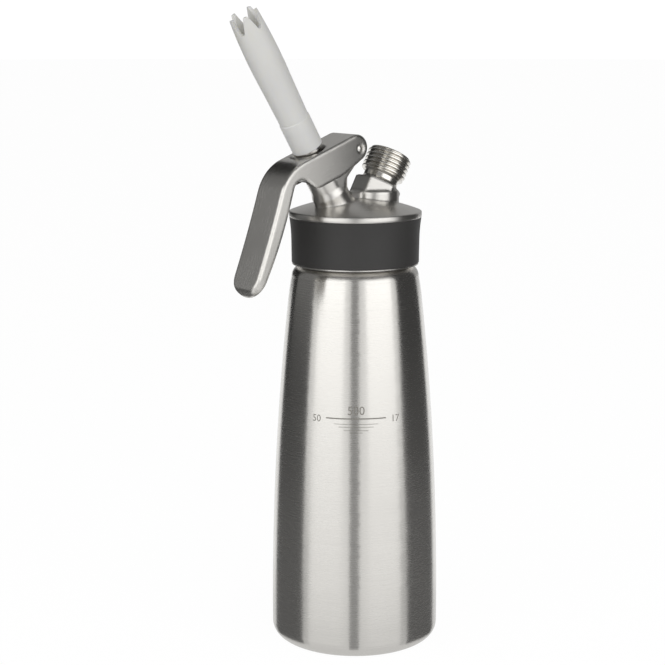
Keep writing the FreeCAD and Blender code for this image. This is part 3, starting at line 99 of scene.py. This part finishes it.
class Nodes:
    """Short names for building one node material."""

    def __init__(self, name):
        self.material = bpy.data.materials.new(name)
        self.material.use_nodes = True
        self.tree = self.material.node_tree
        self.shader = self.tree.nodes["Principled BSDF"]

    def add(self, kind, **settings):
        """Adds a node and sets its properties."""
        node = self.tree.nodes.new(kind)
        for key, value in settings.items():
            setattr(node, key, value)
        return node

    def link(self, source, target):
        """Joins an output to an input."""
        self.tree.links.new(source, target)

    def put(self, value, socket):
        """Feeds a socket from another one, or from a constant."""
        if isinstance(value, bpy.types.NodeSocket):
            self.link(value, socket)
        else:
            socket.default_value = value

    def math(self, operation, first, second=0.0):
        """One sum."""
        node = self.add("ShaderNodeMath", operation=operation)
        self.put(first, node.inputs[0])
        self.put(second, node.inputs[1])
        return node.outputs[0]

    def vector(self, operation, first, second=(0.0, 0.0, 0.0)):
        """One sum with vectors."""
        node = self.add("ShaderNodeVectorMath", operation=operation)
        self.put(first, node.inputs[0])
        self.put(second, node.inputs[1])
        return node.outputs["Value"] if operation in ("DOT_PRODUCT", "LENGTH") else node.outputs["Vector"]

    def scaled(self, vector, factor):
        """A vector times a number."""
        node = self.add("ShaderNodeVectorMath", operation="SCALE")
        self.put(vector, node.inputs[0])
        self.put(factor, node.inputs["Scale"])
        return node.outputs["Vector"]

    def combine(self, x, y, z):
        """A vector from three numbers."""
        node = self.add("ShaderNodeCombineXYZ")
        for value, socket in zip((x, y, z), node.inputs):
            self.put(value, socket)
        return node.outputs[0]

    def noise(self, vector, scale, detail=2.0, roughness=0.5):
        """Plain noise between 0 and 1."""
        node = self.add("ShaderNodeTexNoise")
        self.put(vector, node.inputs["Vector"])
        node.inputs["Scale"].default_value = scale
        node.inputs["Detail"].default_value = detail
        node.inputs["Roughness"].default_value = roughness
        return node.outputs["Fac"]

    def span(self, value, low, high, to_low, to_high):
        """Maps a number from one range to another."""
        node = self.add("ShaderNodeMapRange")
        self.put(value, node.inputs["Value"])
        for key, number in (("From Min", low), ("From Max", high), ("To Min", to_low), ("To Max", to_high)):
            node.inputs[key].default_value = number
        return node.outputs[0]

    def blend(self, factor, first, second):
        """Mixes two colours."""
        node = self.add("ShaderNodeMix", data_type="RGBA")
        self.put(factor, node.inputs["Factor"])
        self.put((*first, 1.0) if isinstance(first, tuple) else first, node.inputs["A"])
        self.put((*second, 1.0) if isinstance(second, tuple) else second, node.inputs["B"])
        return node.outputs["Result"]

    def position(self):
        """Place on the object, in metres."""
        return self.add("ShaderNodeTexCoord").outputs["Object"]

    def relief(self, height, strength, distance, edge=0.0):
        """Gives the shader a fine relief, over edges that look rounded by the radius edge."""
        node = self.add("ShaderNodeBump")
        if edge:
            rounding = self.add("ShaderNodeBevel", samples=6)
            rounding.inputs["Radius"].default_value = edge
            self.link(rounding.outputs[0], node.inputs["Normal"])
        node.inputs["Strength"].default_value = strength
        node.inputs["Distance"].default_value = distance
        self.put(height, node.inputs["Height"])
        self.link(node.outputs[0], self.shader.inputs["Normal"])

    def brushed(self, along, anisotropy):
        """Stretches the gloss across scratches that run along a direction of the object."""
        normal = self.add("ShaderNodeTexCoord").outputs["Normal"]
        across = self.vector("CROSS_PRODUCT", normal, along)
        self.link(self.world_vector(across), self.shader.inputs["Tangent"])
        self.surface(aniso=anisotropy)

    def world_vector(self, vector):
        """A direction given on the object, as it lies in the scene."""
        node = self.add("ShaderNodeVectorTransform", vector_type="VECTOR", convert_from="OBJECT",
                        convert_to="WORLD")
        self.put(vector, node.inputs[0])
        return node.outputs[0]

    def surface(self, **values):
        """Sets the shader's own sockets."""
        for key, value in values.items():
            socket = self.shader.inputs[SOCKETS[key]]
            self.put((*value, 1.0) if isinstance(value, tuple) else value, socket)


# A scratch is about 1 / DRIFT metres long, and as wide as the finish's line. The rings lean by RING_SLOPE,
# so that the faces that lie square to the axis have them too.
SCRATCH_SHARE = 0.65
SCRATCH_DEPTH = 0.000004
SCRATCH_ROUGHNESS = 0.65
RING_DRIFT = 26.0
RING_SLOPE = 1.37
LENGTH_DRIFT = 60.0
STEEL_CLOUD = 38.0
STEEL_DARKEST = 0.92
STEEL_LIGHTEST = 1.06


def steel_tone(nodes, scratches, shade, roughness, spread=0.05):
    """Colour and roughness of steel, uneven with its scratches and with a slow cloud."""
    cloud = nodes.noise(nodes.position(), STEEL_CLOUD, detail=3.0)
    mottle = nodes.math("ADD", nodes.math("MULTIPLY", scratches, SCRATCH_SHARE),
                        nodes.math("MULTIPLY", cloud, 1.0 - SCRATCH_SHARE))
    dark = tuple(part * STEEL_DARKEST for part in shade)
    light = tuple(part * STEEL_LIGHTEST for part in shade)
    nodes.surface(base=nodes.blend(mottle, dark, light), metal=1.0)
    nodes.surface(rough=nodes.span(mottle, 0.25, 0.75, roughness - spread, roughness + spread))


# The lever bends at this X, within this reach to either side; its top and its grip rise by these angles.
BEND = -0.045
BEND_REACH = 0.004
TOP_RISE = math.radians(20.0)
GRIP_RISE = math.radians(69.0)


def slanting(rise):
    """Direction in the plane of symmetry that rises by an angle."""
    return math.cos(rise), 0.0, math.sin(rise)


def turned_steel(name, axis, centre, shade, roughness, anisotropy, line=0.00022, edge=0.0):
    """Steel brushed or turned around an axis: its scratches are rings, line apart."""
    nodes = Nodes(name)
    axis = tuple(axis)
    place = nodes.vector("SUBTRACT", nodes.position(), tuple(centre))
    height = nodes.vector("DOT_PRODUCT", place, axis)
    outward = nodes.vector("SUBTRACT", place, nodes.scaled(axis, height))
    radius = nodes.vector("LENGTH", outward)
    ring = nodes.math("ADD", nodes.math("MULTIPLY", radius, RING_SLOPE), height)
    fast = nodes.scaled(axis, nodes.math("DIVIDE", ring, line))
    slow = nodes.scaled(outward, RING_DRIFT)
    scratches = nodes.noise(nodes.vector("ADD", slow, fast), 1.0, roughness=SCRATCH_ROUGHNESS)
    steel_tone(nodes, scratches, shade, roughness)
    nodes.relief(scratches, 0.13, SCRATCH_DEPTH, edge)
    nodes.brushed(nodes.vector("CROSS_PRODUCT", axis, place), anisotropy)
    return nodes.material


def lengthwise_steel(name, shade, roughness, anisotropy, line=0.0002, edge=0.0019):
    """Steel of the lever, brushed along its length: one way on the top, another on the grip."""
    nodes = Nodes(name)
    place = nodes.position()
    split = nodes.add("ShaderNodeSeparateXYZ")
    nodes.link(place, split.inputs[0])
    top_share = nodes.span(split.outputs["X"], BEND - BEND_REACH, BEND + BEND_REACH, 0.0, 1.0)
    grip_share = nodes.math("SUBTRACT", 1.0, top_share)
    way = nodes.vector("ADD", nodes.scaled(slanting(TOP_RISE), top_share),
                       nodes.scaled(slanting(GRIP_RISE), grip_share))
    along = nodes.vector("DOT_PRODUCT", place, way)
    square = nodes.vector("CROSS_PRODUCT", (0.0, 1.0, 0.0), way)
    lift = nodes.vector("DOT_PRODUCT", place, square)
    grid = nodes.combine(nodes.math("MULTIPLY", along, LENGTH_DRIFT),
                         nodes.math("DIVIDE", split.outputs["Y"], line),
                         nodes.math("DIVIDE", lift, line))
    scratches = nodes.noise(grid, 1.0, roughness=SCRATCH_ROUGHNESS)
    steel_tone(nodes, scratches, shade, roughness)
    nodes.relief(scratches, 0.25, SCRATCH_DEPTH, edge)
    nodes.brushed(way, anisotropy)
    return nodes.material


def plain_steel(name, shade, roughness):
    """Steel of the small parts, with an even fine grain."""
    nodes = Nodes(name)
    grain = nodes.noise(nodes.position(), 2600.0, detail=3.0)
    steel_tone(nodes, grain, shade, roughness, spread=0.04)
    nodes.relief(grain, 0.25, 0.00002)
    return nodes.material


def silicone(name, shade, roughness):
    """Soft dark silicone with a fine matt grain."""
    nodes = Nodes(name)
    grain = nodes.noise(nodes.position(), 3200.0)
    cloud = nodes.noise(nodes.position(), 60.0, detail=3.0)
    darker = tuple(part * 0.85 for part in shade)
    nodes.surface(base=nodes.blend(cloud, darker, shade))
    nodes.surface(rough=nodes.span(grain, 0.3, 0.7, roughness - 0.06, roughness + 0.06))
    nodes.surface(specular=0.4, sheen=0.05, sheen_rough=0.5)
    nodes.relief(grain, 0.15, 0.00002)
    return nodes.material


def moulded_plastic(name, shade, roughness, under=0.0):
    """Moulded plastic with a faint orange peel; light goes under its surface by the share under."""
    nodes = Nodes(name)
    peel = nodes.noise(nodes.position(), 900.0)
    cloud = nodes.noise(nodes.position(), 45.0, detail=3.0)
    darker = tuple(part * 0.95 for part in shade)
    nodes.surface(base=nodes.blend(cloud, darker, shade))
    nodes.surface(rough=nodes.span(peel, 0.3, 0.7, roughness - 0.04, roughness + 0.04))
    nodes.surface(under=under, under_scale=0.004)
    nodes.shader.inputs["Subsurface Radius"].default_value = (1.0, 0.95, 0.7)
    nodes.relief(peel, 0.12, 0.00003)
    return nodes.material


def etched(name):
    """Grey of the etched mark."""
    nodes = Nodes(name)
    grain = nodes.noise(nodes.position(), 4000.0)
    nodes.surface(base=nodes.blend(grain, (0.20, 0.19, 0.17), (0.28, 0.265, 0.24)))
    nodes.surface(metal=0.3, rough=0.55)
    return nodes.material


# ------------------------------------------------------------------ finishes

STEEL = (0.66, 0.645, 0.615)
BRIGHT_STEEL = (0.72, 0.70, 0.66)
FINISHES = {
    "bottle_steel": turned_steel("bottle_steel", UP, BOTTLE_FOOT, STEEL, 0.26, 0.85),
    "head_steel": turned_steel("head_steel", UP, BOTTLE_FOOT, STEEL, 0.31, 0.55, edge=0.0016),
    "adaptor_steel": turned_steel("adaptor_steel", ADAPTOR_AXIS, ADAPTOR_TOP, BRIGHT_STEEL, 0.2, 0.3,
                                  edge=0.0002),
    "lever_steel": lengthwise_steel("lever_steel", STEEL, 0.25, 0.75),
    "pin_steel": plain_steel("pin_steel", STEEL, 0.25),
    "spring_steel": plain_steel("spring_steel", STEEL, 0.22),
    "ring_silicone": silicone("ring_silicone", (0.037, 0.036, 0.035), 0.55),
    "tip_plastic": moulded_plastic("tip_plastic", (0.74, 0.735, 0.71), 0.42, under=0.3),
    "seal_rubber": silicone("seal_rubber", (0.62, 0.61, 0.58), 0.55),
    "bush_plastic": moulded_plastic("bush_plastic", (0.75, 0.74, 0.70), 0.45),
}
MARKING = etched("marking")


def dress_nodes():
    """Gives every node of the frame its finish."""
    for row in RECORD["subparts"]:
        node = NODES[row["node"]]
        node.data.materials.clear()
        node.data.materials.append(FINISHES[row["material_slot"]])


# ------------------------------------------------------------------ studio

# The image's width, the focal length and the column of the bottle's axis are in pixels.
IMAGE = 665
FOCAL = 1716.0
AXIS_COLUMN = 355.1
SENSOR = 36.0
EYE = Vector((-0.5303, -0.6320, 0.305))
PITCH = math.radians(10.44)
AZIMUTH = math.radians(40.0)
LAMP_AIM = Vector((0.0, 0.0, 0.15))


def place_looking(thing, place, ahead):
    """Puts a camera or a lamp into the scene, looking along a direction."""
    bpy.context.scene.collection.objects.link(thing)
    thing.location = place
    thing.rotation_mode = "QUATERNION"
    thing.rotation_quaternion = ahead.to_track_quat("-Z", "Y")


def make_camera():
    """Camera at the level of the decorator tip, in front of the lever and to its right."""
    level = Vector((math.sin(AZIMUTH), math.cos(AZIMUTH), 0.0))
    ahead = level * math.cos(PITCH) - UP * math.sin(PITCH)
    right = ahead.cross(UP).normalized()
    data = bpy.data.cameras.new("camera")
    data.sensor_width = SENSOR
    data.sensor_fit = "HORIZONTAL"
    data.lens = FOCAL / IMAGE * SENSOR
    camera = bpy.data.objects.new("camera", data)
    place_looking(camera, EYE, ahead + right * ((IMAGE / 2 - AXIS_COLUMN) / FOCAL))
    bpy.context.scene.camera = camera


# Strengths of 1 are white in the image. FLOOR_SHADOW is the share of the floor that takes light and shadow.
WHITE = (1.0, 1.0, 1.0, 1.0)
WORLD_LIGHT = 0.45
BACKDROP_WHITE = 1.03
FLOOR_WHITE = 1.05
FLOOR_PAINT = (0.85, 0.85, 0.85, 1.0)
FLOOR_SHADOW = 0.1
FLOOR_RADIUS = 12.0


def shader_node(tree, kind, **inputs):
    """A shader node with some of its inputs set."""
    node = tree.nodes.new(kind)
    for key, value in inputs.items():
        node.inputs[key].default_value = value
    return node


def white_where_seen(tree, lit, white, output, most=1.0):
    """Mixes in a plain white where the camera or a mirror image meets the surface, up to most."""
    path = tree.nodes.new("ShaderNodeLightPath")
    total = path.outputs["Is Camera Ray"]
    for name in ("Is Glossy Ray", "Is Transmission Ray"):
        either = tree.nodes.new("ShaderNodeMath")
        either.operation = "MAXIMUM"
        tree.links.new(total, either.inputs[0])
        tree.links.new(path.outputs[name], either.inputs[1])
        total = either.outputs[0]
    share = tree.nodes.new("ShaderNodeMath")
    share.operation = "MULTIPLY"
    share.inputs[1].default_value = most
    tree.links.new(total, share.inputs[0])
    mix = tree.nodes.new("ShaderNodeMixShader")
    tree.links.new(share.outputs[0], mix.inputs[0])
    tree.links.new(lit.outputs[0], mix.inputs[1])
    tree.links.new(white.outputs[0], mix.inputs[2])
    tree.links.new(mix.outputs[0], output.inputs["Surface"])


def make_world():
    """White surroundings that light the object at a plain level."""
    world = bpy.data.worlds.new("studio")
    world.use_nodes = True
    bpy.context.scene.world = world
    tree = world.node_tree
    lit = tree.nodes["Background"]
    lit.inputs["Color"].default_value = WHITE
    lit.inputs["Strength"].default_value = WORLD_LIGHT
    white = shader_node(tree, "ShaderNodeBackground", Color=WHITE, Strength=BACKDROP_WHITE)
    white_where_seen(tree, lit, white, tree.nodes["World Output"])


def bare_material(name):
    """A material with nothing but its output."""
    material = bpy.data.materials.new(name)
    material.use_nodes = True
    material.node_tree.nodes.clear()
    return material, material.node_tree, material.node_tree.nodes.new("ShaderNodeOutputMaterial")


def make_floor():
    """Large round white floor that keeps a soft shadow."""
    material, tree, output = bare_material("floor_white")
    lit = shader_node(tree, "ShaderNodeBsdfDiffuse", Color=FLOOR_PAINT)
    white = shader_node(tree, "ShaderNodeEmission", Color=WHITE, Strength=FLOOR_WHITE)
    white_where_seen(tree, lit, white, output, 1.0 - FLOOR_SHADOW)
    shape = bmesh.new()
    bmesh.ops.create_circle(shape, cap_ends=True, segments=96, radius=FLOOR_RADIUS)
    finish_mesh(shape, "floor", material)


def make_card(name, start, end, profile, glow, origin=0.0):
    """Studio card: a profile in (distance, height) swept between two bearings, from points on a
    round body of radius origin, as that body mirrors them. Only mirror images show it."""
    steps = max(int(abs(end - start) / CARD_STEP), 2)
    shape = bmesh.new()
    bmesh.ops.create_grid(shape, x_segments=steps, y_segments=len(profile) - 1, size=0.5)
    for vertex in shape.verts:
        bearing = start + (end - start) * (vertex.co.x + 0.5)
        distance, height = profile[round((vertex.co.y + 0.5) * (len(profile) - 1))]
        way = FACING + math.radians(bearing)
        foot = FACING + math.radians(bearing / 2)
        vertex.co = Vector((math.cos(foot) * origin + math.cos(way) * distance,
                            math.sin(foot) * origin + math.sin(way) * distance, height))
    material, tree, output = bare_material(name)
    light = shader_node(tree, "ShaderNodeEmission", Strength=glow)
    tree.links.new(light.outputs[0], output.inputs["Surface"])
    card = finish_mesh(shape, name, material)
    card.visible_camera = False
    card.visible_diffuse = False
    card.visible_shadow = False
    card.visible_transmission = False


def make_lamp(name, bearing, distance, height, size, power, mirrored):
    """Large soft lamp, aimed at the object's middle."""
    data = bpy.data.lights.new(name, "AREA")
    data.shape = "RECTANGLE"
    data.size, data.size_y = size
    data.energy = power
    lamp = bpy.data.objects.new(name, data)
    way = FACING + math.radians(bearing)
    place = Vector((math.cos(way) * distance, math.sin(way) * distance, height))
    place_looking(lamp, place, LAMP_AIM - place)
    lamp.visible_glossy = mirrored


# Bearings are in degrees from the camera's, positive to its right. A profile is a pair of points, each a
# distance and a height in metres. The lifts keep the flat cards clear of the floor and of each other.
FACING = math.atan2(EYE.y, EYE.x)
CARD_STEP = 4.0
WALL = 0.45
NEAR_WALL = 0.25
TIER = 0.14
TOP = 1.0
LIFT = 0.0006
LOW_LIFT = 0.0003
FLOOR = ((0.004, LIFT), (WALL, LIFT))
LOW_WALL = ((WALL, LIFT), (WALL, TIER))
HIGH_WALL = ((WALL, TIER), (WALL, TOP))
TALL_WALL = ((WALL, LIFT), (WALL, TOP))
SIDE_WALL = ((NEAR_WALL, 0.12), (NEAR_WALL, 0.6))
CEILING = ((0.0, TOP + 0.001), (1.2, TOP + 0.001))
NEAR_FLOOR = ((0.03, LOW_LIFT), (0.095, LOW_LIFT))
NEXT_FLOOR = ((0.095, LOW_LIFT), (0.135, LOW_LIFT))

# Name, first and last bearing, profile and glow of each card.
BODY_CARDS = (
    ("floor_left", -143, -77, FLOOR, 0.13),
    ("floor_left_soft", -77, -67, FLOOR, 0.62),
    ("floor_middle", -7, 6, FLOOR, 0.34),
    ("floor_right_soft", 67, 79, FLOOR, 0.60),
    ("floor_right", 79, 142, FLOOR, 0.13),
    ("wall_left", -144, -76, LOW_WALL, 0.06),
    ("wall_middle", -7, 6, TALL_WALL, 0.30),
    ("wall_right", 75, 142, LOW_WALL, 0.08),
)
HEAD_CARDS = (
    ("high_left", -122, -74, HIGH_WALL, 0.20),
    ("high_left_back", -158, -122, HIGH_WALL, 0.02),
    ("high_back", -230, -158, HIGH_WALL, 0.40),
    ("high_right", 73, 132, SIDE_WALL, 0.06),
    ("above", 0, 360, CEILING, 0.14),
    ("floor_near", 0, 360, NEAR_FLOOR, 0.80),
    ("floor_next", 0, 360, NEXT_FLOOR, 0.92),
)

# Name, bearing, distance, height, size, power, and whether mirror images show it.
LAMPS = (
    ("lamp_left", -41, 1.6, 0.7, (1.5, 1.4), 5.2, True),
    ("lamp_right", 42, 1.6, 0.7, (1.5, 1.4), 5.2, True),
    ("lamp_front", 4, 1.5, 0.8, (1.0, 1.0), 5.0, False),
)


def make_studio():
    """Camera, floor, white surroundings, soft lamps and the cards between them."""
    make_camera()
    make_world()
    make_floor()
    for card in BODY_CARDS:
        make_card(*card, origin=BODY_RADIUS)
    for card in HEAD_CARDS:
        make_card(*card)
    for lamp in LAMPS:
        make_lamp(*lamp)


# ------------------------------------------------------------------ mesh helpers

def finish_mesh(shape, name, material, smooth=True):
    """Turns a bmesh into an object in the scene."""
    mesh = bpy.data.meshes.new(name)
    shape.to_mesh(mesh)
    shape.free()
    mesh.materials.append(material)
    for face in mesh.polygons:
        face.use_smooth = smooth
    thing = bpy.data.objects.new(name, mesh)
    bpy.context.scene.collection.objects.link(thing)
    return thing


# ------------------------------------------------------------------ marks on the bottle

# Millimetres about the mark's middle: height, width and thickness of each line, then each number with its
# place aside, its foot and its height.
MARK_LINES = ((0.0, 30.2, 0.6), (-2.6, 21.9, 0.22), (-4.0, 17.4, 0.22), (-5.6, 12.1, 0.22), (-6.7, 6.5, 0.22))
MARK_NUMBERS = (("500", 0.0, 1.9, 4.1), ("50", -20.2, -2.1, 3.3), ("17", 20.2, -2.1, 3.3))
MARK_HEIGHT = 0.1184
MARK_RADIUS = 0.0387
MARK_SHIFT = 0.0006
DIGIT_SHARE = 0.7


def line_pattern(height, width, thickness):
    """Flat bar of a line, in millimetres about the mark's middle."""
    shape = bmesh.new()
    bmesh.ops.create_grid(shape, x_segments=24, y_segments=1, size=0.5)
    bmesh.ops.scale(shape, verts=shape.verts, vec=(width, thickness, 1.0))
    bmesh.ops.translate(shape, verts=shape.verts, vec=(0.0, height, 0.0))
    return shape


def number_pattern(text, aside, foot, height):
    """Flat digits, in millimetres about the mark's middle."""
    curve = bpy.data.curves.new("digits", "FONT")
    curve.body = text
    curve.align_x = "CENTER"
    curve.size = height / DIGIT_SHARE
    curve.resolution_u = 3
    carrier = bpy.data.objects.new("digits", curve)
    bpy.context.scene.collection.objects.link(carrier)
    bpy.context.view_layer.update()
    mesh = bpy.data.meshes.new_from_object(carrier)
    bpy.data.objects.remove(carrier)
    shape = bmesh.new()
    shape.from_mesh(mesh)
    bmesh.ops.translate(shape, verts=shape.verts, vec=(aside, foot, 0.0))
    return shape


def lay_on_bottle(shape, skin, name, depth=0.00008, lift=0.00003):
    """Wraps a flat pattern round the bottle's front, as a thin layer sunk into its skin."""
    bmesh.ops.remove_doubles(shape, verts=shape.verts, dist=0.0001)
    for vertex in shape.verts:
        height = MARK_HEIGHT + vertex.co.y * MM
        turn = FACING + (vertex.co.x * MM + MARK_SHIFT) / MARK_RADIUS
        way = Vector((math.cos(turn), math.sin(turn), 0.0))
        start = way * (2.0 * BODY_RADIUS) + UP * height
        place, normal, _, _ = skin.ray_cast(start, -way)
        vertex.co = place - normal * depth
    bmesh.ops.recalc_face_normals(shape, faces=shape.faces)
    grown = bmesh.ops.extrude_face_region(shape, geom=shape.faces[:])
    for vertex in [item for item in grown["geom"] if isinstance(item, bmesh.types.BMVert)]:
        way = Vector((vertex.co.x, vertex.co.y, 0.0)).normalized()
        vertex.co += way * (depth + lift)
    bmesh.ops.recalc_face_normals(shape, faces=shape.faces)
    mark = finish_mesh(shape, name, MARKING, smooth=False)
    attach(mark, "bottle")


def mark_bottle():
    """Filling line with plain numbers."""
    steel = NODES["bottle"].data
    skin = BVHTree.FromPolygons([vertex.co for vertex in steel.vertices],
                                [tuple(face.vertices) for face in steel.polygons])
    for number, row in enumerate(MARK_LINES):
        lay_on_bottle(line_pattern(*row), skin, "mark_line_%d" % number)
    for number, row in enumerate(MARK_NUMBERS):
        lay_on_bottle(number_pattern(*row), skin, "mark_number_%d" % number)


# ------------------------------------------------------------------ return spring

WIRE = 0.5 * MM
COILS = 6
COIL_STEPS = 24


def coil_spring():
    """The return spring, remade as a coil of wire around the valve's stem."""
    solid = NODES["return_spring"]
    points = [solid.matrix_world @ vertex.co for vertex in solid.data.vertices]
    along = [(point - TIP_SEAT).dot(STEM_AXIS) for point in points]
    reach = max((point - TIP_SEAT - STEM_AXIS * t).length for point, t in zip(points, along))
    foot, top = min(along), max(along)
    shape = bmesh.new()
    ring = bmesh.ops.create_circle(shape, segments=10, radius=WIRE)["verts"]
    turn = Matrix.Rotation(math.radians(90.0), 3, "X")
    bmesh.ops.rotate(shape, verts=ring, cent=(0, 0, 0), matrix=turn)
    bmesh.ops.translate(shape, verts=ring, vec=(reach - WIRE, 0.0, WIRE))
    steps = COILS * COIL_STEPS
    rise = (top - foot - 2 * WIRE) / steps
    bmesh.ops.spin(shape, geom=ring + shape.edges[:], cent=(0, 0, 0), axis=UP, dvec=UP * rise,
                   angle=math.tau * COILS, steps=steps)
    lean = UP.rotation_difference(STEM_AXIS).to_matrix()
    bmesh.ops.rotate(shape, verts=shape.verts, cent=(0, 0, 0), matrix=lean)
    anchor = TIP_SEAT + STEM_AXIS * foot
    bmesh.ops.translate(shape, verts=shape.verts, vec=anchor)
    bmesh.ops.holes_fill(shape, edges=[edge for edge in shape.edges if edge.is_boundary], sides=12)
    bmesh.ops.recalc_face_normals(shape, faces=shape.faces)
    spring = finish_mesh(shape, "spring", FINISHES["spring_steel"])
    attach(spring, "head")
    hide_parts("return_spring")
    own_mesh(spring)


# ------------------------------------------------------------------ main

dress_nodes()
mark_bottle()
coil_spring()
make_studio()

bpy.context.scene.view_settings.view_transform = "Standard"
bpy.context.view_layer.update()
